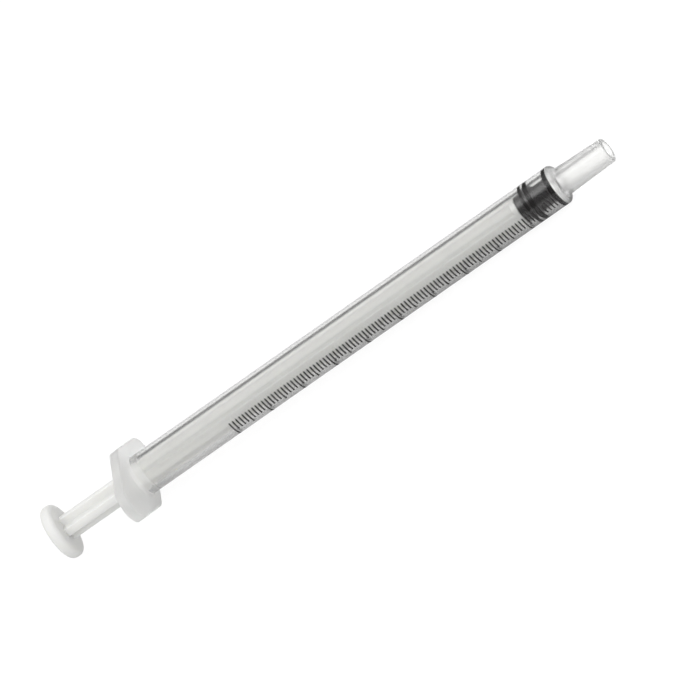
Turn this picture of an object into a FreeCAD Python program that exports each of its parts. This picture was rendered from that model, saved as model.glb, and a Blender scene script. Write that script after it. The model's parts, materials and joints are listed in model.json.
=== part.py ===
import FreeCAD, Part
import math
import os
import re

import Sketcher
from FreeCAD import Placement, Rotation, Vector

# A 1 ml three-piece syringe that lies on its side with the plunger pushed fully in.
#
# Every piece is modelled along its own X axis, with the nozzle end towards +X.
# barrel       clear tube, finger flange and tapered nozzle in one moulding, origin at the
#              flange's rear face
# stopper      rubber piston with three sealing rings, origin at its rear face
# plunger_rod  fluted rod with thumb rest, backing disc and the head that holds the stopper,
#              origin at the thumb rest's rear face
#
# The syringe rests on one tapered edge of its flange and on the rim of the barrel's shoulder,
# so its axis slopes a little, nozzle end down. The origin is under the middle of the syringe.

SIZES = [
    # barrel
    ("bore_diameter", 4.607, "1 ml in 60 mm of travel"),
    ("barrel_wall", 0.86, "wall of the tube"),
    ("barrel_length", 79.55, "flange's rear face to the shoulder"),
    ("end_wall", 0.89, "wall between bore and shoulder"),
    ("shoulder_round", 0.67, "rounding of the shoulder's rim"),
    ("mouth_chamfer", 0.3, "lead-in at the open end of the bore"),
    ("nozzle_length", 8.56, "shoulder to tip"),
    ("nozzle_tip_diameter", 3.93, "small end of the cone"),
    ("nozzle_taper", 0.06, "growth of diameter over length"),
    ("nozzle_bore_tip_diameter", 2.5, "fluid way at the tip"),
    ("nozzle_bore_root_diameter", 2.1, "fluid way at the barrel"),
    ("nozzle_tip_chamfer", 0.25, "the tip's outer edge"),
    ("flange_span", 23.4, "long way across the finger flange"),
    ("flange_width", 10.65, "short way across the finger flange"),
    ("flange_corner_radius", 3.0, "rounding of all four corners"),
    ("flange_thickness", 1.62, "plate of the finger flange"),
    ("flange_edge_round", 0.3, "rounding of the plate's edges"),
    ("flange_root_round", 0.5, "fillet between plate and tube"),
    ("flange_overlap", 0.2, "plate's reach into the tube's wall"),
    ("bead_setback", 2.65, "open end to the middle of the retaining bead"),
    ("bead_width", 1.2, "retaining bead, at the wall"),
    ("bead_height", 0.08, "how far the bead stands into the bore"),
    # stopper
    ("stopper_length", 6.2, "rear face to front face"),
    ("ring_clearance", 0.015, "each sealing ring to the bore, on the radius"),
    ("collar_clearance", 0.18, "rear collar to the bore, on the radius"),
    ("waist_diameter", 3.85, "between the rings"),
    ("groove_diameter", 4.3, "between the two rear rings"),
    ("rear_ring_place", 1.46, "rear face to the rear ring's middle"),
    ("rear_ring_crown", 0.48, "width of the rear ring at the bore"),
    ("middle_ring_place", 2.42, "rear face to the middle ring's middle"),
    ("middle_ring_crown", 0.72, "width of the middle ring at the bore"),
    ("front_ring_crown", 0.64, "width of the front ring at the bore"),
    ("ring_flank", 0.25, "length of each ring's sloping side"),
    ("front_flank", 0.57, "length of the slope behind the front ring"),
    ("middle_flank", 0.52, "length of the slope before the middle ring"),
    ("front_chamfer", 0.1, "rim of the stopper's front face"),
    ("lip_length", 1.0, "rubber behind the rod's head"),
    ("front_gap", 0.03, "front face to the end of the bore"),
    # plunger rod
    ("plunger_length", 86.35, "thumb rest's rear face to the stopper's seat"),
    ("thumb_diameter", 8.8, "thumb rest"),
    ("thumb_thickness", 1.95, "thumb rest"),
    ("thumb_edge_round", 0.75, "rounding of the thumb rest's rim"),
    ("rod_diameter", 4.0, "across the ribs"),
    ("rib_thickness", 1.3, "each rib of the cross"),
    ("flute_round", 0.25, "inner corner of each flute"),
    ("backing_clearance", 0.18, "backing disc to the bore, on the radius"),
    ("backing_thickness", 0.84, "disc that pushes the stopper"),
    ("neck_diameter", 1.6, "rod inside the stopper's lip"),
    ("head_diameter", 2.4, "barb that holds the stopper"),
    ("head_tip_diameter", 1.3, "small end of the barb"),
    ("head_length", 1.5, "barb"),
    ("head_clearance", 0.05, "rod to stopper, all round and at each end"),
]

# The rod is free to turn in the barrel, and it lies with its ribs turned this much from the flange.
ROD_TURN_DEG = 4.0

doc = FreeCAD.newDocument("Syringe")


def make_sheet():
    """The driving dimensions, one row each: name, value and what it measures."""
    sheet = doc.addObject("Spreadsheet::Sheet", "Sizes")
    for row, (name, size, meaning) in enumerate(SIZES, start=1):
        sheet.set("A%d" % row, name)
        sheet.set("B%d" % row, str(size))
        sheet.set("C%d" % row, meaning)
        sheet.setAlias("B%d" % row, name)
    doc.recompute()
    return sheet


sheet = make_sheet()


def value(formula):
    """The number that a formula of the sheet's names gives."""
    result = sheet.evalExpression(formula)
    return float(getattr(result, "Value", result))


def bound(formula):
    """The same formula, as another object of the document has to write it."""
    names = "|".join(row[0] for row in SIZES)
    return re.sub(r"\b(%s)\b" % names, r"Sizes.\1", formula)


# Sketches and features

def origin_feature(body, role):
    for feature in body.Origin.OriginFeatures:
        if feature.Role == role:
            return feature
    raise ValueError("no " + role)


def new_body(label):
    body = doc.addObject("PartDesign::Body", label)
    body.Label = label
    return body


def new_sketch(body, name, plane, offset=None):
    """A sketch on one of the body's own planes, or a distance in front of it."""
    sketch = body.newObject("Sketcher::SketchObject", name)
    sketch.AttachmentSupport = [(origin_feature(body, plane), "")]
    sketch.MapMode = "FlatFace"
    if offset:
        sketch.setExpression("AttachmentOffset.Base.z", bound(offset))
    doc.recompute()
    return sketch


def tie_point(sketch, geometry, end, across, up):
    """Dimension one point from the sketch's origin."""
    for kind, axis, formula in (("DistanceX", -2, across), ("DistanceY", -1, up)):
        if formula == "0":
            sketch.addConstraint(Sketcher.Constraint("PointOnObject", geometry, end, axis))
        else:
            rule = Sketcher.Constraint(kind, -1, 1, geometry, end, value(formula))
            index = sketch.addConstraint(rule)
            sketch.setExpression("Constraints[%d]" % index, bound(formula))


def tie_radius(sketch, geometry, formula):
    index = sketch.addConstraint(Sketcher.Constraint("Radius", geometry, value(formula)))
    sketch.setExpression("Constraints[%d]" % index, bound(formula))


def draw_outline(sketch, corners):
    """A closed outline of straight lines with every corner tied to the sheet."""
    points = [Vector(value(across), value(up), 0) for across, up in corners]
    count = len(points)
    first = sketch.GeometryCount
    for i in range(count):
        sketch.addGeometry(Part.LineSegment(points[i], points[(i + 1) % count]), False)
    for i in range(count):
        rule = Sketcher.Constraint("Coincident", first + i, 2, first + (i + 1) % count, 1)
        sketch.addConstraint(rule)
    for i, (across, up) in enumerate(corners):
        tie_point(sketch, first + i, 1, across, up)


def draw_circle(sketch, radius):
    circle = Part.Circle(Vector(0, 0, 0), Vector(0, 0, 1), value(radius))
    index = sketch.addGeometry(circle, False)
    sketch.addConstraint(Sketcher.Constraint("Coincident", index, 3, -1, 1))
    tie_radius(sketch, index, radius)


def revolve(body, name, corners):
    """Turn an outline, drawn beside the X axis, once round that axis."""
    sketch = new_sketch(body, name + "_outline", "XY_Plane")
    draw_outline(sketch, corners)
    feature = body.newObject("PartDesign::Revolution", name)
    feature.Profile = sketch
    feature.ReferenceAxis = (sketch, ["H_Axis"])
    feature.Angle = 360
    doc.recompute()
    return feature


def round_edges(body, name, edges, radius):
    """Fillet the edges of the body's last feature that a test picks out."""
    base = body.Tip
    names = ["Edge%d" % n for n, edge in enumerate(base.Shape.Edges, start=1) if edges(edge)]
    if not names:
        raise ValueError("no edge to round for " + name)
    feature = body.newObject("PartDesign::Fillet", name)
    feature.Base = (base, names)
    feature.Radius = value(radius)
    feature.setExpression("Radius", bound(radius))
    doc.recompute()
    return feature


def is_ring(edge, place, radius):
    """Whether an edge is a full circle about the X axis at a place along it."""
    if not isinstance(edge.Curve, Part.Circle) or not edge.Closed:
        return False
    centre = edge.Curve.Center
    return (abs(centre.x - place) < 1e-4 and math.hypot(centre.y, centre.z) < 1e-4
            and abs(edge.Curve.Radius - radius) < 1e-4)


# Barrel

BORE = "bore_diameter / 2"
TUBE = "(bore_diameter / 2 + barrel_wall)"
NOZZLE_END = "barrel_length + nozzle_length"
CONE_ROOT = "(nozzle_tip_diameter / 2 + nozzle_taper * nozzle_length / 2)"
# The bead's flat middle third, on either side of its middle.
BEAD_CROWN = "bead_width / 6"
# A rounding takes at most nine tenths of what is there, so that a flat always remains.
MOST = "0.9"
SHOULDER_ROUND = "min(shoulder_round; " + MOST + " * (" + TUBE + " - " + CONE_ROOT + "))"
PLATE_ROUND = "min(flange_edge_round; " + MOST + " * flange_thickness / 2)"
THUMB_ROUND = "min(thumb_edge_round; " + MOST + " * thumb_thickness / 2)"


def draw_flange_outline(sketch):
    """A long rhombus with round corners: four equal arcs joined by tangent lines."""
    long_way = value("flange_span / 2 - flange_corner_radius")
    short_way = value("flange_width / 2 - flange_corner_radius")
    radius = value("flange_corner_radius")
    side = math.atan2(short_way, long_way)
    centres = [(long_way, 0), (0, short_way), (-long_way, 0), (0, -short_way)]
    half_turns = [math.pi / 2 - side, side, math.pi / 2 - side, side]
    arcs = []
    for quarter, ((across, up), half_turn) in enumerate(zip(centres, half_turns)):
        circle = Part.Circle(Vector(across, up, 0), Vector(0, 0, 1), radius)
        middle = quarter * math.pi / 2
        arc = Part.ArcOfCircle(circle, middle - half_turn, middle + half_turn)
        arcs.append(sketch.addGeometry(arc, False))
    lines = []
    for i in range(4):
        start = sketch.getPoint(arcs[i], 2)
        end = sketch.getPoint(arcs[(i + 1) % 4], 1)
        lines.append(sketch.addGeometry(Part.LineSegment(start, end), False))
    for i in range(4):
        sketch.addConstraint(Sketcher.Constraint("Tangent", arcs[i], 2, lines[i], 1))
        sketch.addConstraint(Sketcher.Constraint("Tangent", lines[i], 2, arcs[(i + 1) % 4], 1))
        tie_radius(sketch, arcs[i], "flange_corner_radius")
    long_formula = "flange_span / 2 - flange_corner_radius"
    short_formula = "flange_width / 2 - flange_corner_radius"
    tie_point(sketch, arcs[0], 3, long_formula, "0")
    tie_point(sketch, arcs[1], 3, "0", short_formula)
    tie_point(sketch, arcs[2], 3, "-(" + long_formula + ")", "0")
    tie_point(sketch, arcs[3], 3, "0", "-(" + short_formula + ")")


def make_barrel():
    body = new_body("barrel")
    revolve(body, "tube", [
        ("mouth_chamfer", BORE),
        ("0", BORE + " + mouth_chamfer"),
        ("0", TUBE),
        ("barrel_length", TUBE),
        ("barrel_length", CONE_ROOT),
        (NOZZLE_END + " - nozzle_tip_chamfer",
         "nozzle_tip_diameter / 2 + nozzle_taper * nozzle_tip_chamfer / 2"),
        (NOZZLE_END, "nozzle_tip_diameter / 2 - nozzle_tip_chamfer"),
        (NOZZLE_END, "nozzle_bore_tip_diameter / 2"),
        ("barrel_length - end_wall", "nozzle_bore_root_diameter / 2"),
        ("barrel_length - end_wall", BORE),
    ])

    # The plate starts inside the tube's wall, so that it leaves the bore free.
    sketch = new_sketch(body, "flange_outline", "YZ_Plane")
    draw_flange_outline(sketch)
    draw_circle(sketch, TUBE + " - flange_overlap")
    plate = body.newObject("PartDesign::Pad", "flange")
    plate.Profile = sketch
    plate.Length = value("flange_thickness")
    plate.setExpression("Length", bound("flange_thickness"))
    doc.recompute()

    # The bead stops the stopper's rings before the plunger can be drawn out.
    revolve(body, "retaining_bead", [
        ("bead_setback - bead_width / 2", "bore_diameter / 2 + bead_height"),
        ("bead_setback - bead_width / 2", BORE),
        ("bead_setback - " + BEAD_CROWN, "bore_diameter / 2 - bead_height"),
        ("bead_setback + " + BEAD_CROWN, "bore_diameter / 2 - bead_height"),
        ("bead_setback + bead_width / 2", BORE),
        ("bead_setback + bead_width / 2", "bore_diameter / 2 + bead_height"),
    ])

    thickness = value("flange_thickness")
    tube = value(TUBE)
    root = value(TUBE + " + flange_root_round")
    length = value("barrel_length")

    def flange_rim(edge):
        """The plate's outer edges, front and rear, away from the tube."""
        box = edge.BoundBox
        flat = box.XLength < 1e-6 and (abs(box.XMin) < 1e-6 or abs(box.XMin - thickness) < 1e-6)
        away = all(math.hypot(v.Y, v.Z) > root for v in edge.Vertexes)
        return flat and away and not edge.Closed

    round_edges(body, "flange_root", lambda e: is_ring(e, thickness, tube), "flange_root_round")
    round_edges(body, "flange_edge", flange_rim, PLATE_ROUND)
    round_edges(body, "shoulder", lambda e: is_ring(e, length, tube), SHOULDER_ROUND)
    return body


# Stopper

RING = "(bore_diameter / 2 - ring_clearance)"
COLLAR = "(bore_diameter / 2 - collar_clearance)"
CAVITY = "(head_diameter / 2 + head_clearance)"
SLEEVE = "(neck_diameter / 2 + head_clearance)"


def make_stopper():
    body = new_body("stopper")
    # Each ring has a flat crown against the bore and a sloping flank on either side.
    rear = "rear_ring_place - rear_ring_crown / 2"
    rear_end = "rear_ring_place + rear_ring_crown / 2"
    middle = "middle_ring_place - middle_ring_crown / 2"
    middle_end = "middle_ring_place + middle_ring_crown / 2"
    front = "stopper_length - front_ring_crown"
    revolve(body, "rubber", [
        ("0", SLEEVE),
        ("0", COLLAR),
        (rear + " - ring_flank", COLLAR),
        (rear, RING),
        (rear_end, RING),
        (rear_end + " + ring_flank / 2", "groove_diameter / 2"),
        (middle + " - ring_flank / 2", "groove_diameter / 2"),
        (middle, RING),
        (middle_end, RING),
        (middle_end + " + middle_flank", "waist_diameter / 2"),
        (front + " - front_flank", "waist_diameter / 2"),
        (front, RING),
        ("stopper_length - front_chamfer", RING),
        ("stopper_length", RING + " - front_chamfer"),
        ("stopper_length", "0"),
        ("lip_length + head_length + head_clearance * 2", "0"),
        ("lip_length + head_length + head_clearance * 2", CAVITY),
        ("lip_length", CAVITY),
        ("lip_length", SLEEVE),
    ])
    return body


# Plunger rod

ROD = "rod_diameter / 2"
BACKING = "(bore_diameter / 2 - backing_clearance)"
NECK_END = "(plunger_length + lip_length + head_clearance * 2)"


def make_plunger_rod():
    body = new_body("plunger_rod")
    revolve(body, "rod", [
        ("0", "0"),
        ("0", "thumb_diameter / 2"),
        ("thumb_thickness", "thumb_diameter / 2"),
        ("thumb_thickness", ROD),
        ("plunger_length - backing_thickness", ROD),
        ("plunger_length - backing_thickness", BACKING),
        ("plunger_length", BACKING),
        ("plunger_length", "neck_diameter / 2"),
        (NECK_END, "neck_diameter / 2"),
        (NECK_END, "head_diameter / 2"),
        (NECK_END + " + head_length", "head_tip_diameter / 2"),
        (NECK_END + " + head_length", "0"),
    ])
    thumb = value("thumb_diameter / 2")
    round_edges(body, "thumb_rim",
                lambda e: isinstance(e.Curve, Part.Circle) and abs(e.Curve.Radius - thumb) < 1e-4,
                THUMB_ROUND)

    # Four flutes, cut lengthways, leave ribs in a cross with round outer edges.
    sketch = new_sketch(body, "flute_outline", "YZ_Plane", "thumb_thickness")
    draw_outline(sketch, [
        ("rib_thickness / 2", "rib_thickness / 2"),
        (ROD, "rib_thickness / 2"),
        (ROD, ROD),
        ("rib_thickness / 2", ROD),
    ])
    flute = body.newObject("PartDesign::Pocket", "flute")
    flute.Profile = sketch
    flute.Reversed = True
    flute_length = "plunger_length - backing_thickness - thumb_thickness"
    flute.Length = value(flute_length)
    flute.setExpression("Length", bound(flute_length))
    doc.recompute()
    pattern = body.newObject("PartDesign::PolarPattern", "flutes")
    pattern.Originals = [flute]
    pattern.Axis = (origin_feature(body, "X_Axis"), [""])
    pattern.Angle = 360
    pattern.Occurrences = 4
    body.Tip = pattern
    doc.recompute()

    half_rib = value("rib_thickness / 2")

    def flute_corner(edge):
        """The long inner edge of each flute, where two ribs meet."""
        box = edge.BoundBox
        return (box.XLength > value(flute_length) * 0.9 and len(edge.Vertexes) == 2
                and all(abs(abs(v.Y) - half_rib) < 1e-4 and abs(abs(v.Z) - half_rib) < 1e-4
                        for v in edge.Vertexes))

    round_edges(body, "flute_corners", flute_corner, "flute_round")
    return body


# How the syringe lies

def flange_side():
    """The tapered side's distance from the axis, and its angle to the flange's long way."""
    long_way = value("flange_span / 2 - flange_corner_radius")
    short_way = value("flange_width / 2 - flange_corner_radius")
    distance = value("flange_corner_radius") + long_way * short_way / math.hypot(long_way, short_way)
    return distance, math.atan2(short_way, long_way)


def rest_placement():
    """The barrel's place when one side of the flange and the shoulder's rim touch the floor.

    Both touch at a rounded edge. Each edge is an arc with its centre some way along the axis
    and some way below it, and the floor is the common tangent of the two arcs.
    """
    side, roll = flange_side()
    edge_round = value(PLATE_ROUND)
    rim_round = value(SHOULDER_ROUND)
    edge_along = value("flange_thickness") - edge_round
    edge_below = side - edge_round
    rim_along = value("barrel_length") - rim_round
    rim_below = value(TUBE) - rim_round
    run = rim_along - edge_along
    drop = edge_below - rim_below
    slope = math.atan2(drop, run) + math.asin((edge_round - rim_round) / math.hypot(run, drop))
    height = edge_along * math.sin(slope) + edge_below * math.cos(slope) + edge_round

    # The ends of the syringe along X: the rim of the thumb rest and the rim of the nozzle.
    rear_round = value(THUMB_ROUND)
    rear = ((rod_place() + rear_round) * math.cos(slope)
            - (value("thumb_diameter / 2") - rear_round) * math.sin(slope) - rear_round)
    tip = (value(NOZZLE_END) * math.cos(slope)
           + value("nozzle_tip_diameter / 2 - nozzle_tip_chamfer") * math.sin(slope))

    turn = Rotation(Vector(0, 1, 0), math.degrees(slope)).multiply(
        Rotation(Vector(1, 0, 0), -math.degrees(roll)))
    return Placement(Vector(-(rear + tip) / 2, 0, height), turn)


def stopper_place():
    """The stopper's rear face, along the axis from the flange's rear face."""
    return value("barrel_length - end_wall - front_gap - stopper_length")


def rod_place():
    """The thumb rest's rear face, along the axis from the flange's rear face."""
    return stopper_place() - value("head_clearance") - value("plunger_length")


def check(body):
    """Stop if the body or anything in it failed, or if its solid isn't sound."""
    for item in [body] + body.Group:
        if "Invalid" in item.State or "Error" in item.State:
            raise ValueError("failed: " + item.Label)
    if body.Shape.isNull() or not body.Shape.isValid() or len(body.Shape.Solids) != 1:
        raise ValueError("not one sound solid: " + body.Label)


def main():
    barrel = make_barrel()
    stopper = make_stopper()
    plunger_rod = make_plunger_rod()
    rest = rest_placement()
    barrel.Placement = rest
    stopper.Placement = rest.multiply(Placement(Vector(stopper_place(), 0, 0), Rotation()))
    turned = Rotation(Vector(1, 0, 0), ROD_TURN_DEG)
    plunger_rod.Placement = rest.multiply(Placement(Vector(rod_place(), 0, 0), turned))
    doc.recompute()
    bodies = [barrel, stopper, plunger_rod]
    for body in bodies:
        check(body)
    os.makedirs("parts", exist_ok=True)
    for body in bodies:
        body.Shape.exportStep("parts/%s.step" % body.Label)
        print("%-12s volume %8.2f mm3" % (body.Label, body.Shape.Volume))


main()
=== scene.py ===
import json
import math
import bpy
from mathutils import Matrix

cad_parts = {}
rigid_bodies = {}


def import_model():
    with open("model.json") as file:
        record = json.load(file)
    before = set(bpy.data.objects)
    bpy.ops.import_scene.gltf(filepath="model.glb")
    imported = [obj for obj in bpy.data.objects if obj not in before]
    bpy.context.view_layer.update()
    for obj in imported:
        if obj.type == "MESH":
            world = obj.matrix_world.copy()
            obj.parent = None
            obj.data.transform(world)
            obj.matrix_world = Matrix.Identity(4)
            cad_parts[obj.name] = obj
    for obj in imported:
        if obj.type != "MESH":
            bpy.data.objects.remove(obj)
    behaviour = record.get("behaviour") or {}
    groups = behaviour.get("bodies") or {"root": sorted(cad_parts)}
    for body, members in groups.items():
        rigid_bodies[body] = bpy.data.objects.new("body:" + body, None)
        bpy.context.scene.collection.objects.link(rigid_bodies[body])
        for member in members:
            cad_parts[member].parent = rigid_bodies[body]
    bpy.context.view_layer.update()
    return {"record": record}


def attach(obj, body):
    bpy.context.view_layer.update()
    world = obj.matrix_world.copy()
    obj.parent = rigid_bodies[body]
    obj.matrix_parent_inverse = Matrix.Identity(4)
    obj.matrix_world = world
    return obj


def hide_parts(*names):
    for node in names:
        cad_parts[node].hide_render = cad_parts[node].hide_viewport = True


bl_info = {
    "name": "Fine-dosage syringe",
    "version": (1, 0, 0),
    "blender": (4, 5, 0),
    "location": "3D View > Sidebar > Syringe",
    "description": "Clear barrel, rubber stopper, white plunger rod and printed scale of a 1 ml syringe",
    "category": "Object",
}

import bmesh
import bpy
from bpy.props import FloatProperty, FloatVectorProperty, IntProperty, PointerProperty
from mathutils import Matrix, Vector

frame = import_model()

MOUNTS = {mount["name"]: mount for mount in frame["record"]["mounts"]}
AXIS = Vector(MOUNTS["nozzle"]["axis"]).normalized()
TIP = Vector(MOUNTS["nozzle"]["pos_m"])
TUBE_RADIUS_MM = MOUNTS["barrel_grip"]["dims"]["r_mm"]
BORE_MM = 4.607


# Settings that a user may change

def length(name, millimetres, description):
    """A length, given in millimetres and kept in metres."""
    return FloatProperty(name=name, default=millimetres / 1000, unit="LENGTH", precision=6,
                         description=description)


def angle(name, degrees, description):
    return FloatProperty(name=name, default=math.radians(degrees), subtype="ANGLE",
                         description=description)


def linear(hex_colour):
    """The linear red, green and blue of an sRGB colour such as #E6E7E4."""
    shares = [int(hex_colour[i:i + 2], 16) / 255 for i in (1, 3, 5)]
    return [s / 12.92 if s <= 0.04045 else ((s + 0.055) / 1.055) ** 2.4 for s in shares]


def colour(name, hex_colour, description):
    return FloatVectorProperty(name=name, default=linear(hex_colour), subtype="COLOR", min=0, max=1,
                               description=description)


class SyringeBarrel(bpy.types.PropertyGroup):
    bore: length("Bore", BORE_MM, "Inside of the tube")
    tube_radius: length("Tube radius", TUBE_RADIUS_MM, "Axis to the outside of the tube")
    tube_length: length("Length", 79.55, "Flange's rear face to the shoulder")
    end_wall: length("End wall", 0.89, "Wall between bore and shoulder")
    shoulder_round: length("Shoulder", 0.67, "Rounding of the shoulder's rim")
    mouth_chamfer: length("Mouth", 0.3, "Lead-in at the open end of the bore")
    nozzle_length: length("Nozzle", 8.56, "Shoulder to tip")
    nozzle_tip: length("Nozzle tip", 3.93, "Diameter of the cone's small end")
    nozzle_taper: FloatProperty(name="Taper", default=0.06, description="Growth of diameter over length")
    way_tip: length("Fluid way, tip", 2.5, "Diameter of the fluid way at the tip")
    way_root: length("Fluid way, root", 2.1, "Diameter of the fluid way at the barrel")
    tip_round: length("Tip edge", 0.25, "The tip's outer edge")
    flange_span: length("Flange span", 23.4, "Long way across the finger flange")
    flange_width: length("Flange width", 10.65, "Short way across the finger flange")
    flange_corner: length("Flange corners", 3.0, "Rounding of the flange's four corners")
    flange_thickness: length("Flange plate", 1.62, "Thickness of the finger flange")
    flange_edge: length("Flange edge", 0.3, "Rounding of the plate's edges")
    flange_root: length("Flange root", 0.5, "Fillet between plate and tube")
    bead_setback: length("Bead", 2.65, "Open end to the middle of the retaining bead")
    bead_width: length("Bead width", 1.2, "Retaining bead, at the wall")
    bead_height: length("Bead height", 0.08, "How far the bead stands into the bore")
    steps: IntProperty(name="Steps", default=240, min=24, description="Steps once round the barrel")


class SyringeStopper(bpy.types.PropertyGroup):
    full_length: length("Length", 6.2, "Rear face to front face")
    front_gap: length("Front gap", 0.03, "Front face to the end of the bore")
    squeeze: length("Squeeze", 0.02, "How far each ring presses into the wall, as rubber on plastic does")
    collar_clearance: length("Collar", 0.18, "Rear collar to the bore, on the radius")
    waist: length("Waist", 3.85, "Diameter between the rings")
    groove: length("Groove", 4.3, "Diameter between the two rear rings")
    rear_ring: length("Rear ring", 1.46, "Rear face to the rear ring's middle")
    rear_crown: length("Rear crown", 0.48, "Width of the rear ring at the bore")
    middle_ring: length("Middle ring", 2.42, "Rear face to the middle ring's middle")
    middle_crown: length("Middle crown", 0.72, "Width of the middle ring at the bore")
    front_crown: length("Front crown", 0.64, "Width of the front ring at the bore")
    ring_flank: length("Ring flank", 0.25, "Length of each ring's sloping side")
    front_flank: length("Front flank", 0.57, "Length of the slope behind the front ring")
    middle_flank: length("Middle flank", 0.52, "Length of the slope before the middle ring")
    front_rim: length("Front rim", 0.1, "Rim of the front face")
    soft_edge: length("Soft edge", 0.12, "Rounding where a flank meets waist, groove or collar")
    lip: length("Lip", 1.0, "Rubber behind the rod's head")


class SyringePlunger(bpy.types.PropertyGroup):
    seat: length("Length", 86.35, "Thumb rest's rear face to the stopper's seat")
    thumb: length("Thumb rest", 8.8, "Diameter of the thumb rest")
    thumb_thickness: length("Thumb plate", 1.95, "Thickness of the thumb rest")
    thumb_edge: length("Thumb edge", 0.75, "Rounding of the thumb rest's rim")
    rod: length("Rod", 4.0, "Diameter across the ribs")
    rib: length("Rib", 1.3, "Thickness of each rib of the cross")
    flute_round: length("Flute corner", 0.25, "Inner corner of each flute")
    rib_round: length("Rib edge", 0.12, "Outer edges of each rib")
    backing_clearance: length("Backing", 0.18, "Backing disc to the bore, on the radius")
    backing_thickness: length("Backing plate", 0.84, "Disc that pushes the stopper")
    neck: length("Neck", 1.6, "Diameter inside the stopper's lip")
    head: length("Head", 2.4, "Diameter of the barb that holds the stopper")
    head_tip: length("Head tip", 1.3, "Small end of the barb")
    head_length: length("Head length", 1.5, "Length of the barb")
    head_clearance: length("Head clearance", 0.05, "Rod to stopper, all round and at each end")
    turn: angle("Turn", 4.0, "How far the rod lies turned from the flange")
    steps: IntProperty(name="Steps", default=128, min=24, description="Steps once round")


class SyringeScale(bpy.types.PropertyGroup):
    zero: length("Zero line", 78.31, "Flange's rear face to the zero line")
    pitch: length("Pitch", 0.6, "From each line to the next, 0.01 ml")
    line: length("Line", 0.21, "Width of each line")
    film: length("Film", 0.012, "Thickness of the ink")
    start: angle("Start", 11.0, "Where every line starts, up from the level on the side with the scale")
    short: angle("Short line", 33.0, "Turn of each 0.01 ml line")
    medium: angle("Medium line", 44.0, "Turn of each 0.05 ml line")
    long: angle("Long line", 92.0, "Turn of each 0.1 ml line")


class SyringeColours(bpy.types.PropertyGroup):
    clear: colour("Clear plastic", "#FDFDFC", "Barrel")
    white: colour("White plastic", "#E3E3E1", "Plunger rod")
    rubber: colour("Rubber", "#141010", "Stopper")
    ink: colour("Ink", "#100E0E", "Scale")


class SyringeStage(bpy.types.PropertyGroup):
    distance: FloatProperty(name="Camera distance", default=2.32, unit="LENGTH",
                            description="Camera to the middle of the syringe")
    seen_width: length("Seen width", 101.9, "Width of the picture at the syringe")
    towards: angle("Towards", 16.3, "How far the nozzle end turns towards the camera")
    picture_slope: angle("Picture slope", 34.95, "Rise of the axis to the right in the picture")
    above: angle("Above", 30.6, "How far the camera stands above the level, seen along the axis")
    middle: length("Middle", 37.71, "Flange's rear face to the point that the picture is set by")
    right: length("Right", 2.31, "From that point to the picture's middle, to the right")
    down: length("Down", 1.3, "From that point to the picture's middle, downwards")


def barrel_sizes():
    return bpy.context.scene.syringe_barrel


def stopper_sizes():
    return bpy.context.scene.syringe_stopper


def plunger_sizes():
    return bpy.context.scene.syringe_plunger


def colours():
    return bpy.context.scene.syringe_colours


# Where things are, along X from the flange's rear face

def nozzle_end():
    barrel = barrel_sizes()
    return barrel.tube_length + barrel.nozzle_length


def stopper_rear():
    barrel, stopper = barrel_sizes(), stopper_sizes()
    return barrel.tube_length - barrel.end_wall - stopper.front_gap - stopper.full_length


def thumb_rear():
    plunger = plunger_sizes()
    return stopper_rear() - plunger.head_clearance - plunger.seat


def flange_slant():
    """The angle between the flange's tapered sides and its long way."""
    barrel = barrel_sizes()
    long_way = barrel.flange_span / 2 - barrel.flange_corner
    short_way = barrel.flange_width / 2 - barrel.flange_corner
    return math.atan2(short_way, long_way)


def lying():
    """From the barrel's own frame to where the syringe lies, on a side of its flange and its shoulder."""
    slope = Matrix.Rotation(math.asin(-AXIS.z), 4, "Y")
    roll = Matrix.Rotation(-flange_slant(), 4, "X")
    return Matrix.Translation(TIP - AXIS * nozzle_end()) @ slope @ roll


# Outlines

def rounded(corners, steps=6):
    """The points of a line with round corners, from (along, out, radius) for each corner."""
    points = [Vector(corners[0][:2])]
    for i in range(1, len(corners) - 1):
        corner, radius = Vector(corners[i][:2]), corners[i][2]
        back = (Vector(corners[i - 1][:2]) - corner).normalized()
        on = (Vector(corners[i + 1][:2]) - corner).normalized()
        half = back.angle(on) / 2
        if radius == 0 or half > math.radians(89.5):
            points.append(corner)
            continue
        centre = corner + (back + on).normalized() * radius / math.sin(half)
        first = corner + back * radius / math.tan(half) - centre
        last = corner + on * radius / math.tan(half) - centre
        turn = first.angle_signed(last)
        for step in range(steps + 1):
            points.append(centre + Matrix.Rotation(-turn * step / steps, 2) @ first)
    points.append(Vector(corners[-1][:2]))
    return points


def flange_reach(turn):
    """How far the flange's outline lies from the axis, at an angle from its long way."""
    barrel = barrel_sizes()
    corner = barrel.flange_corner
    long_way = barrel.flange_span / 2 - corner
    short_way = barrel.flange_width / 2 - corner
    across, up = abs(math.cos(turn)), abs(math.sin(turn))
    slant = flange_slant()
    side = corner + long_way * math.sin(slant)
    reach = side / (across * math.sin(slant) + up * math.cos(slant))
    # Beyond the point where the straight side ends, the outline is one of the round corners.
    along = reach * across
    if along > long_way + corner * math.sin(slant):
        inner = long_way * across
        return inner + math.sqrt(inner ** 2 - long_way ** 2 + corner ** 2)
    if along < corner * math.sin(slant):
        inner = short_way * up
        return inner + math.sqrt(inner ** 2 - short_way ** 2 + corner ** 2)
    return reach


# Modelling in edit mode

def start_piece(name):
    """A new piece in edit mode, with nothing in it and nothing else selected."""
    bpy.ops.object.select_all(action="DESELECT")
    bpy.ops.mesh.primitive_plane_add(size=0.001, enter_editmode=True)
    bpy.ops.mesh.delete(type="VERT")
    piece = bpy.context.object
    piece.name = piece.data.name = name
    return piece


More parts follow.
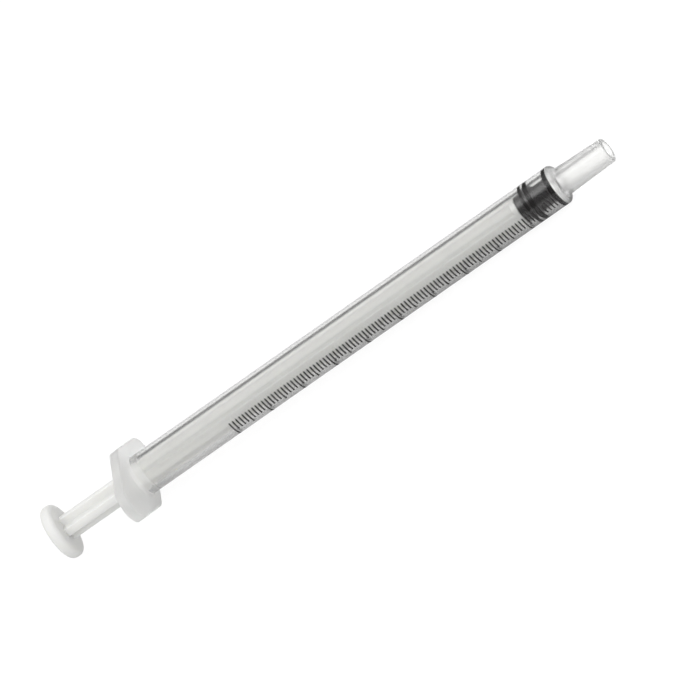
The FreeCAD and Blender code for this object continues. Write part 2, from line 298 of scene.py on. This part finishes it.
def draw_line(points):
    """Draw a line by extruding one corner to the next."""
    bpy.ops.mesh.select_all(action="DESELECT")
    bpy.ops.mesh.primitive_plane_add(size=0.001, location=points[0])
    bpy.ops.mesh.merge(type="CENTER")
    for here, there in zip(points, points[1:]):
        bpy.ops.mesh.extrude_region_move(TRANSFORM_OT_translate={"value": there - here})


def spin_line(outline, steps, turn=math.tau):
    """Draw an outline of (along, out) points beside the X axis and turn it round that axis."""
    draw_line([Vector((along, out, 0)) for along, out in outline])
    bpy.ops.mesh.select_linked()
    bpy.ops.mesh.spin(steps=steps, angle=turn, center=(0, 0, 0), axis=(1, 0, 0))


def pick_edges(test, also=lambda edge: True):
    """Select the edges whose two ends pass a test of their place, and that pass another."""
    bpy.ops.mesh.select_mode(type="EDGE")
    bpy.ops.mesh.select_all(action="DESELECT")
    mesh = bmesh.from_edit_mesh(bpy.context.object.data)
    for edge in mesh.edges:
        edge.select_set(all(test(corner.co) for corner in edge.verts) and also(edge))
    bmesh.update_edit_mesh(bpy.context.object.data)


def close_up(gap=1e-7):
    """Merge doubles and turn every face outwards."""
    bpy.ops.mesh.select_mode(type="VERT")
    bpy.ops.mesh.select_all(action="SELECT")
    bpy.ops.mesh.remove_doubles(threshold=gap)
    bpy.ops.mesh.normals_make_consistent(inside=False)
    bpy.ops.object.mode_set(mode="OBJECT")


def add_modifier(piece, kind, **settings):
    """Add a modifier, set it and apply it."""
    modifier = piece.modifiers.new(kind.title(), kind)
    for name, setting in settings.items():
        setattr(modifier, name, setting)
    bpy.context.view_layer.objects.active = piece
    bpy.ops.object.modifier_apply(modifier=modifier.name)


def lay_down(piece, body, slot, material, *nodes):
    """Put a finished piece where the syringe lies, give it its material and hang it on its body."""
    bpy.ops.object.select_all(action="DESELECT")
    piece.select_set(True)
    bpy.context.view_layer.objects.active = piece
    bpy.ops.object.shade_smooth_by_angle(angle=math.radians(40))
    piece.matrix_world = lying()
    bpy.ops.object.transform_apply(location=True, rotation=True, scale=True)
    piece.data.materials.append(material)
    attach(piece, body)
    if nodes:
        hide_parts(*nodes)


# Materials

def add_node(tree, kind, links=None, **settings):
    """Add one node, set its inputs and settings, and link its inputs to other nodes' outputs."""
    node = tree.nodes.new(kind)
    for name, setting in settings.items():
        setattr(node, name, setting)
    for name, source in (links or {}).items():
        if isinstance(source, bpy.types.NodeSocket):
            tree.links.new(source, node.inputs[name])
        else:
            node.inputs[name].default_value = source
    return node


def new_material(name):
    material = bpy.data.materials.new(name)
    material.use_nodes = True
    material.node_tree.nodes.clear()
    return material, material.node_tree


def moulded_bump(tree, grain_mm, height_um):
    """The faint unevenness of a moulded surface, from noise of one real grain size and height."""
    place = add_node(tree, "ShaderNodeTexCoord")
    noise = add_node(tree, "ShaderNodeTexNoise",
                     {"Vector": place.outputs["Object"], "Scale": 1000 / grain_mm, "Detail": 2.0})
    bump = add_node(tree, "ShaderNodeBump",
                    {"Height": noise.outputs["Fac"], "Strength": 1.0, "Distance": height_um / 1e6})
    return noise, bump


def clear_polypropylene(name, smoothest, roughest, milkiness):
    """Clear plastic from a polished mould or, milky and rough, from a textured one."""
    material, tree = new_material(name)
    noise, bump = moulded_bump(tree, 4.0, 0.5)
    roughness = add_node(tree, "ShaderNodeMapRange",
                         {"Value": noise.outputs["Fac"], "To Min": smoothest, "To Max": roughest})
    plastic = add_node(tree, "ShaderNodeBsdfPrincipled", {
        "Base Color": (*colours().clear, 1),
        "Roughness": roughness.outputs["Result"],
        "IOR": 1.49,
        "Transmission Weight": 1 - milkiness,
        "Normal": bump.outputs["Normal"],
    })
    # Rays from lamps pass, so that light reaches the rod and the stopper inside.
    path = add_node(tree, "ShaderNodeLightPath")
    passing = add_node(tree, "ShaderNodeBsdfTransparent", {"Color": (1, 1, 1, 1)})
    mixed = add_node(tree, "ShaderNodeMixShader", {0: path.outputs["Is Shadow Ray"]})
    tree.links.new(plastic.outputs[0], mixed.inputs[1])
    tree.links.new(passing.outputs[0], mixed.inputs[2])
    add_node(tree, "ShaderNodeOutputMaterial", {"Surface": mixed.outputs[0]})
    return material


def white_polypropylene():
    """Translucent white moulding with a satin surface: light softens in its edges."""
    material, tree = new_material("white_moulded_polypropylene")
    noise, bump = moulded_bump(tree, 0.8, 4)
    roughness = add_node(tree, "ShaderNodeMapRange",
                         {"Value": noise.outputs["Fac"], "To Min": 0.42, "To Max": 0.58})
    plastic = add_node(tree, "ShaderNodeBsdfPrincipled", {
        "Base Color": (*colours().white, 1),
        "Roughness": roughness.outputs["Result"],
        "IOR": 1.49,
        "Subsurface Weight": 0.5,
        "Subsurface Radius": (1.0, 1.0, 0.9),
        "Subsurface Scale": 0.0012,
        "Normal": bump.outputs["Normal"],
    })
    add_node(tree, "ShaderNodeOutputMaterial", {"Surface": plastic.outputs[0]})
    return material


def siliconised_rubber():
    """Moulded rubber with a trace of silicone oil: dark, with a soft sheen."""
    material, tree = new_material("siliconised_rubber")
    noise, bump = moulded_bump(tree, 0.25, 6)
    roughness = add_node(tree, "ShaderNodeMapRange",
                         {"Value": noise.outputs["Fac"], "To Min": 0.42, "To Max": 0.6})
    rubber = add_node(tree, "ShaderNodeBsdfPrincipled", {
        "Base Color": (*colours().rubber, 1),
        "Roughness": roughness.outputs["Result"],
        "IOR": 1.5,
        "Specular IOR Level": 0.16,
        "Normal": bump.outputs["Normal"],
    })
    add_node(tree, "ShaderNodeOutputMaterial", {"Surface": rubber.outputs[0]})
    return material


def printing_ink():
    """Black ink, transfer-printed: matt, and a little thinner in places."""
    material, tree = new_material("black_printing_ink")
    place = add_node(tree, "ShaderNodeTexCoord")
    noise = add_node(tree, "ShaderNodeTexNoise",
                     {"Vector": place.outputs["Object"], "Scale": 1000 / 0.3, "Detail": 3.0})
    shade = add_node(tree, "ShaderNodeMix",
                     {"Factor": noise.outputs["Fac"], "A": (*colours().ink, 1),
                      "B": (*linear("#262324"), 1)}, data_type="RGBA")
    ink = add_node(tree, "ShaderNodeBsdfPrincipled",
                   {"Base Color": shade.outputs["Result"], "Roughness": 0.55, "IOR": 1.45})
    add_node(tree, "ShaderNodeOutputMaterial", {"Surface": ink.outputs[0]})
    return material


# Pieces

class AddBarrel(bpy.types.Operator):
    """Tube, finger flange, shoulder and nozzle in one clear moulding"""
    bl_idname = "syringe.add_barrel"
    bl_label = "Barrel"

    def execute(self, context):
        s = barrel_sizes()
        bore = s.bore / 2
        tube = s.tube_radius
        cone_root = s.nozzle_tip / 2 + s.nozzle_taper * s.nozzle_length / 2
        bead = s.bead_height
        start = s.bead_setback - s.bead_width / 2
        end = s.bead_setback + s.bead_width / 2
        bore_end = s.tube_length - s.end_wall
        # The flange starts as a round disc inside its outline.
        disc = s.flange_width / 2 - s.flange_edge
        start_piece("barrel_moulding")
        spin_line(rounded([
            (0, disc, 0),
            (0, bore + s.mouth_chamfer, s.mouth_chamfer / 3),
            (s.mouth_chamfer, bore, s.mouth_chamfer / 3),
            (start, bore, bead),
            (start + s.bead_width / 3, bore - bead, bead),
            (end - s.bead_width / 3, bore - bead, bead),
            (end, bore, bead),
            (bore_end, bore, s.mouth_chamfer / 3),
            (bore_end, s.way_root / 2, s.mouth_chamfer / 3),
            (nozzle_end(), s.way_tip / 2, s.tip_round / 3),
            (nozzle_end(), s.nozzle_tip / 2, s.tip_round),
            (s.tube_length, cone_root, s.mouth_chamfer),
            (s.tube_length, tube, s.shoulder_round),
            (s.flange_thickness, tube, s.flange_root),
            (s.flange_thickness, disc, 0),
            (0, disc, 0),
        ]), s.steps)
        bpy.ops.mesh.select_all(action="SELECT")
        bpy.ops.mesh.remove_doubles(threshold=1e-7)

        # Its rim is moved out to the real outline, and then its edges are rounded.
        def on_rim(corner):
            return math.hypot(corner.y, corner.z) > disc - 1e-6
        mesh = bmesh.from_edit_mesh(bpy.context.object.data)
        for corner in filter(lambda v: on_rim(v.co), mesh.verts):
            turn = math.atan2(corner.co.z, corner.co.y)
            reach = flange_reach(turn)
            corner.co.y, corner.co.z = reach * math.cos(turn), reach * math.sin(turn)
        bmesh.update_edit_mesh(bpy.context.object.data)
        pick_edges(on_rim, lambda edge: abs(edge.verts[0].co.x - edge.verts[1].co.x) < 1e-7)
        bpy.ops.mesh.bevel(offset=s.flange_edge, segments=5, profile=0.5)
        close_up()
        barrel = bpy.context.object
        polished = clear_polypropylene("clear_moulded_polypropylene", 0.15, 0.2, 0.0)
        satin = clear_polypropylene("satin_clear_polypropylene", 0.28, 0.36, 0.15)
        textured = clear_polypropylene("textured_clear_polypropylene", 0.4, 0.5, 0.25)
        lay_down(barrel, "barrel", "clear_plastic", polished, "barrel")
        add_modifier(barrel, "WEIGHTED_NORMAL", keep_sharp=True)
        # The end wall and nozzle are satin, and the flange is textured, with its fillet and the
        # mouth as far as the bead.
        textured_end = s.bead_setback + s.bead_width / 2
        barrel.data.materials.append(satin)
        barrel.data.materials.append(textured)
        for face in barrel.data.polygons:
            offset = face.center - TIP
            behind_tip = -offset.dot(AXIS)
            beside = (offset + AXIS * behind_tip).length > tube + s.bead_height / 4
            if beside or nozzle_end() - behind_tip < textured_end:
                face.material_index = 2
            elif behind_tip < s.nozzle_length + s.end_wall:
                face.material_index = 1
        return {"FINISHED"}


class AddStopper(bpy.types.Operator):
    """Rubber piston with its three sealing rings and the cavity for the rod's head"""
    bl_idname = "syringe.add_stopper"
    bl_label = "Stopper"

    def execute(self, context):
        barrel, s, plunger = barrel_sizes(), stopper_sizes(), plunger_sizes()
        ring = barrel.bore / 2 + s.squeeze
        collar = barrel.bore / 2 - s.collar_clearance
        cavity = plunger.head / 2 + plunger.head_clearance
        sleeve = plunger.neck / 2 + plunger.head_clearance
        cavity_end = s.lip + plunger.head_length + 2 * plunger.head_clearance
        rear = s.rear_ring - s.rear_crown / 2
        rear_end = s.rear_ring + s.rear_crown / 2
        middle = s.middle_ring - s.middle_crown / 2
        middle_end = s.middle_ring + s.middle_crown / 2
        front = s.full_length - s.front_crown
        soft, edge = s.soft_edge, s.front_rim / 3
        outline = rounded([
            (0, sleeve, 0),
            (0, collar, soft),
            (rear - s.ring_flank, collar, soft),
            (rear, ring, edge),
            (rear_end, ring, edge),
            (rear_end + s.ring_flank / 2, s.groove / 2, edge),
            (middle - s.ring_flank / 2, s.groove / 2, edge),
            (middle, ring, edge),
            (middle_end, ring, edge),
            (middle_end + s.middle_flank, s.waist / 2, soft),
            (front - s.front_flank, s.waist / 2, soft),
            (front, ring, edge),
            (s.full_length, ring, s.front_rim),
            (s.full_length, 0, 0),
        ])
        inside = [Vector((cavity_end, 0)), Vector((cavity_end, cavity)), Vector((s.lip, cavity)),
                  Vector((s.lip, sleeve)), Vector((0, sleeve))]
        start_piece("stopper_moulding")
        offset = Vector((stopper_rear(), 0))
        spin_line([point + offset for point in outline], plunger.steps)
        spin_line([point + offset for point in inside], plunger.steps)
        close_up()
        lay_down(bpy.context.object, "stopper", "rubber", siliconised_rubber(), "stopper")
        return {"FINISHED"}


class AddPlunger(bpy.types.Operator):
    """White rod with thumb rest, four flutes, backing disc and the barbed head"""
    bl_idname = "syringe.add_plunger"
    bl_label = "Plunger rod"

    def execute(self, context):
        barrel, s = barrel_sizes(), plunger_sizes()
        lip = stopper_sizes().lip
        rear = thumb_rear()
        seat = rear + s.seat
        neck_end = seat + lip + 2 * s.head_clearance
        backing = barrel.bore / 2 - s.backing_clearance
        edge = s.rib_round / 2

        start_piece("plunger_moulding")
        spin_line(rounded([
            (rear, 0, 0),
            (rear, s.thumb / 2, s.thumb_edge),
            (rear + s.thumb_thickness, s.thumb / 2, s.thumb_edge),
            (rear + s.thumb_thickness, 0, 0),
        ], 8), s.steps)
        close_up()
        plunger = bpy.context.object

        start_piece("rod_end")
        spin_line(rounded([
            (seat - s.backing_thickness, 0, 0),
            (seat - s.backing_thickness, backing, edge),
            (seat, backing, edge),
            (seat, s.neck / 2, edge),
            (neck_end, s.neck / 2, 0),
            (neck_end, s.head / 2, edge),
            (neck_end + s.head_length, s.head_tip / 2, edge),
            (neck_end + s.head_length, 0, 0),
        ], 4), s.steps)
        close_up()
        end_part = bpy.context.object

        # The cross is drawn once round as one line and drawn out along the rod.
        start_piece("rod_cross")
        half, radius = s.rib / 2, s.rod / 2
        shoulder = math.sqrt(radius ** 2 - half ** 2)
        quarter = [
            (shoulder, half, s.rib_round),
            (half, half, s.flute_round),
            (half, shoulder, s.rib_round),
            (0, radius, radius),
        ]
        cross = [(radius, 0, 0)]
        for turn in range(4):
            cosine, sine = round(math.cos(turn * math.pi / 2)), round(math.sin(turn * math.pi / 2))
            for across, up, bend in quarter:
                cross.append((across * cosine - up * sine, across * sine + up * cosine, bend))
        cross[-1] = (radius, 0, 0)
        into = s.rib_round
        place = rear + s.thumb_thickness - into
        draw_line([Vector((place, across, up)) for across, up in rounded(cross, 5)])
        bpy.ops.mesh.select_all(action="SELECT")
        bpy.ops.mesh.remove_doubles(threshold=1e-7)
        bpy.ops.mesh.edge_face_add()
        reach = seat - s.backing_thickness + into - place
        bpy.ops.mesh.extrude_region_move(TRANSFORM_OT_translate={"value": (reach, 0, 0)})
        close_up()
        cross_part = bpy.context.object

        for part in (cross_part, end_part):
            add_modifier(plunger, "BOOLEAN", operation="UNION", solver="EXACT", object=part)
            bpy.data.objects.remove(part)
        plunger.data.transform(Matrix.Rotation(s.turn, 4, "X"))
        lay_down(plunger, "plunger_rod", "white_plastic", white_polypropylene(), "plunger_rod")
        add_modifier(plunger, "WEIGHTED_NORMAL", keep_sharp=True)
        return {"FINISHED"}


class AddScale(bpy.types.Operator):
    """The printed lines, 100 divisions of 0.01 ml"""
    bl_idname = "syringe.add_scale"
    bl_label = "Scale lines"

    def execute(self, context):
        s = context.scene.syringe_scale
        tube = barrel_sizes().tube_radius
        decade = 10 * s.pitch
        runs = [
            ("long", s.long, 0, [(11, decade)]),
            ("medium", s.medium, 5 * s.pitch, [(10, decade)]),
            ("short", s.short, s.pitch, [(4, s.pitch), (2, 5 * s.pitch), (10, decade)]),
        ]
        lines = []
        for name, turn, first, repeats in runs:
            piece = start_piece("scale_" + name)
            place = s.zero - first
            steps = math.ceil(math.degrees(turn) / 3)
            out = tube - s.film / 4
            spin_line([(place - s.line / 2, out), (place + s.line / 2, out)], steps, -turn)
            bpy.ops.mesh.select_all(action="SELECT")
            bpy.ops.mesh.normals_make_consistent(inside=False)
            bpy.ops.object.mode_set(mode="OBJECT")
            lines.append(piece)
            for count, distance in repeats:
                add_modifier(piece, "ARRAY", count=count, use_relative_offset=False,
                             use_constant_offset=True,
                             constant_offset_displace=(-distance, 0, 0))
        bpy.ops.object.select_all(action="DESELECT")
        for piece in lines:
            piece.select_set(True)
        bpy.context.view_layer.objects.active = lines[0]
        bpy.ops.object.join()
        scale = bpy.context.object
        scale.name = scale.data.name = "scale_lines"
        scale.data.transform(Matrix.Rotation(math.pi - s.start + flange_slant(), 4, "X"))
        add_modifier(scale, "SOLIDIFY", thickness=s.film, offset=1.0)
        lay_down(scale, "barrel", "scale_ink", printing_ink())
        return {"FINISHED"}


# Stage, with its levels as shares of white

# The floor that the camera sees is mostly glow, so that its shadow stays faint.
SEEN_CARD, SEEN_GLOW = 0.15, 0.9
# The floor that lights the syringe, and that its plastic mirrors or lets through, is mostly card.
LIGHTING_CARD, MIRRORED_CARD, UNSEEN_GLOW = 0.4, 0.78, 0.22
# Right under the syringe hardly any light reaches the floor, so there its card is darkened by ambient
# occlusion: a painted contact shadow, which shows in the tube's wall.
PAINTED_CONTACT_SHADE_CARD, PAINTED_SHADE_REACH_MM = 0.2, 5
# What shines on the plastic is a white sweep, a dark room above it and a soft ceiling light.
SWEEP, DARK_ROOM, CEILING = 1.0, 0.14, 0.9
# What lights the matt surfaces is a white room, brighter above and on the camera's side, and
# darker beyond both ends of the syringe.
FAR_SIDE, NEAR_SIDE = 0.75, 1.2
BESIDE, BEYOND_ENDS = 1.2, 0.25
NEAR_SIDE_FROM = (-0.1, -0.75, 0.65)


class AddStage(bpy.types.Operator):
    """Pale floor, soft light and the camera"""
    bl_idname = "syringe.add_stage"
    bl_label = "Stage"

    def execute(self, context):
        context.scene.view_settings.view_transform = "Standard"
        self.add_floor()
        self.add_world(context.scene)
        self.add_lamp("key_lamp", (-0.12, -0.35, 0.88), 0.5, 1.0)
        self.add_camera(context.scene)
        return {"FINISHED"}

    def add_floor(self):
        bpy.ops.object.select_all(action="DESELECT")
        bpy.ops.mesh.primitive_plane_add(size=12)
        floor = bpy.context.object
        floor.name = floor.data.name = "floor"
        material, tree = new_material("pale_floor")
        path, mirrored = self.add_ray_kinds(tree)
        # Painted shade: what the plastic mirrors or lets through of the floor is darker where the syringe
        # lies close above it.
        open_sky = add_node(tree, "ShaderNodeAmbientOcclusion",
                            {"Distance": PAINTED_SHADE_REACH_MM / 1000}, samples=4)
        painted_contact_shade = add_node(tree, "ShaderNodeMapRange",
                           {"Value": open_sky.outputs["AO"], "From Min": 0.25, "From Max": 0.75,
                            "To Min": PAINTED_CONTACT_SHADE_CARD, "To Max": MIRRORED_CARD})
        pale = add_node(tree, "ShaderNodeMapRange",
                        {"Value": mirrored.outputs[0], "To Min": LIGHTING_CARD,
                         "To Max": painted_contact_shade.outputs["Result"]})
        albedo = add_node(tree, "ShaderNodeMapRange",
                          {"Value": path.outputs["Is Camera Ray"],
                           "To Min": pale.outputs["Result"], "To Max": SEEN_CARD})
        glow_level = add_node(tree, "ShaderNodeMapRange",
                              {"Value": path.outputs["Is Camera Ray"],
                               "To Min": UNSEEN_GLOW, "To Max": SEEN_GLOW})
        card = add_node(tree, "ShaderNodeBsdfDiffuse", {"Color": albedo.outputs["Result"]})
        glow = add_node(tree, "ShaderNodeEmission", {"Color": (1, 1, 1, 1),
                                                     "Strength": glow_level.outputs["Result"]})
        both = add_node(tree, "ShaderNodeAddShader")
        tree.links.new(card.outputs[0], both.inputs[0])
        tree.links.new(glow.outputs[0], both.inputs[1])
        add_node(tree, "ShaderNodeOutputMaterial", {"Surface": both.outputs[0]})
        floor.data.materials.append(material)

    def add_world(self, scene):
        world = bpy.data.worlds.new("studio")
        scene.world = world
        world.use_nodes = True
        tree = world.node_tree
        tree.nodes.clear()
        place = add_node(tree, "ShaderNodeTexCoord")
        parts = add_node(tree, "ShaderNodeSeparateXYZ", {0: place.outputs["Generated"]})
        sweep = add_node(tree, "ShaderNodeMapRange",
                         {"Value": parts.outputs["Z"], "From Min": 0.0, "From Max": 0.14,
                          "To Min": SWEEP, "To Max": DARK_ROOM}, interpolation_type="SMOOTHSTEP")
        ceiling = add_node(tree, "ShaderNodeMapRange",
                           {"Value": parts.outputs["Z"], "From Min": 0.6, "From Max": 0.95,
                            "To Min": DARK_ROOM, "To Max": CEILING}, interpolation_type="SMOOTHSTEP")
        room = add_node(tree, "ShaderNodeMath", {0: sweep.outputs["Result"],
                                                 1: ceiling.outputs["Result"]},
                        operation="MAXIMUM")
        facing = add_node(tree, "ShaderNodeVectorMath",
                          {0: place.outputs["Generated"], 1: NEAR_SIDE_FROM},
                          operation="DOT_PRODUCT")
        square = add_node(tree, "ShaderNodeMath", {0: parts.outputs["X"], 1: parts.outputs["X"]},
                          operation="MULTIPLY")
        across = add_node(tree, "ShaderNodeMapRange",
                          {"Value": square.outputs[0], "To Min": BESIDE, "To Max": BEYOND_ENDS})
        soft = add_node(tree, "ShaderNodeMapRange",
                        {"Value": facing.outputs["Value"], "From Min": -1.0, "From Max": 1.0,
                         "To Min": FAR_SIDE, "To Max": NEAR_SIDE})
        soft = add_node(tree, "ShaderNodeMath", {0: soft.outputs["Result"],
                                                 1: across.outputs["Result"]},
                        operation="MULTIPLY")
        path, mirrored = self.add_ray_kinds(tree)
        level = add_node(tree, "ShaderNodeMapRange",
                         {"Value": mirrored.outputs[0], "To Min": soft.outputs[0],
                          "To Max": room.outputs[0]})
        walls = add_node(tree, "ShaderNodeBackground", {"Color": (1, 1, 1, 1),
                                                        "Strength": level.outputs["Result"]})
        white = add_node(tree, "ShaderNodeBackground", {"Color": (1, 1, 1, 1), "Strength": 1.0})
        mixed = add_node(tree, "ShaderNodeMixShader", {0: path.outputs["Is Camera Ray"]})
        tree.links.new(walls.outputs[0], mixed.inputs[1])
        tree.links.new(white.outputs[0], mixed.inputs[2])
        add_node(tree, "ShaderNodeOutputWorld", {"Surface": mixed.outputs[0]})

    def add_ray_kinds(self, tree):
        """The kind of each ray, and whether it is one that a clear or glossy surface sends on."""
        path = add_node(tree, "ShaderNodeLightPath")
        mirrored = add_node(tree, "ShaderNodeMath", {0: path.outputs["Is Glossy Ray"],
                                                     1: path.outputs["Is Transmission Ray"]},
                            operation="MAXIMUM")
        return path, mirrored

    def add_lamp(self, name, place, size, power):
        data = bpy.data.lights.new(name, "AREA")
        data.size = size
        data.energy = power
        lamp = bpy.data.objects.new(name, data)
        bpy.context.scene.collection.objects.link(lamp)
        lamp.location = place
        lamp.rotation_mode = "QUATERNION"
        lamp.rotation_quaternion = (-Vector(place)).to_track_quat("-Z", "Y")

    def add_camera(self, scene):
        """Set the camera by how the syringe's axis lies in the picture."""
        s = scene.syringe_stage
        up_axis = Vector((-AXIS.z, 0, AXIS.x))
        level = Vector((0, -1, 0))
        front = math.sin(s.above) * up_axis + math.cos(s.above) * level
        over = math.cos(s.above) * up_axis - math.sin(s.above) * level
        along = math.cos(s.towards) * AXIS - math.sin(s.towards) * front
        back = math.sin(s.towards) * AXIS + math.cos(s.towards) * front
        right = math.cos(s.picture_slope) * along - math.sin(s.picture_slope) * over
        up = math.sin(s.picture_slope) * along + math.cos(s.picture_slope) * over
        turn = Matrix((right, up, back)).transposed()
        rear = TIP - AXIS * nozzle_end()
        aim = rear + AXIS * s.middle + right * s.right - up * s.down
        data = bpy.data.cameras.new("camera")
        data.lens = data.sensor_width * s.distance / s.seen_width
        data.clip_start = s.distance / 20
        data.clip_end = s.distance * 20
        camera = bpy.data.objects.new("camera", data)
        scene.collection.objects.link(camera)
        camera.rotation_mode = "QUATERNION"
        camera.rotation_quaternion = turn.to_quaternion()
        camera.location = aim + back * s.distance
        scene.camera = camera


class SyringePanel(bpy.types.Panel):
    bl_idname = "SYRINGE_PT_pieces"
    bl_label = "Syringe"
    bl_space_type = "VIEW_3D"
    bl_region_type = "UI"
    bl_category = "Syringe"

    def draw(self, context):
        for operator in OPERATORS:
            self.layout.operator(operator.bl_idname)


OPERATORS = [AddBarrel, AddStopper, AddPlunger, AddScale, AddStage]
GROUPS = {
    "syringe_barrel": SyringeBarrel,
    "syringe_stopper": SyringeStopper,
    "syringe_plunger": SyringePlunger,
    "syringe_scale": SyringeScale,
    "syringe_colours": SyringeColours,
    "syringe_stage": SyringeStage,
}


def register():
    for name, group in GROUPS.items():
        bpy.utils.register_class(group)
        setattr(bpy.types.Scene, name, PointerProperty(type=group))
    for kind in [*OPERATORS, SyringePanel]:
        bpy.utils.register_class(kind)


def unregister():
    for kind in [SyringePanel, *reversed(OPERATORS)]:
        bpy.utils.unregister_class(kind)
    for name, group in reversed(GROUPS.items()):
        delattr(bpy.types.Scene, name)
        bpy.utils.unregister_class(group)


def main():
    register()
    bpy.ops.syringe.add_barrel()
    bpy.ops.syringe.add_stopper()
    bpy.ops.syringe.add_plunger()
    bpy.ops.syringe.add_scale()
    bpy.ops.syringe.add_stage()


if __name__ == "__main__":
    main()
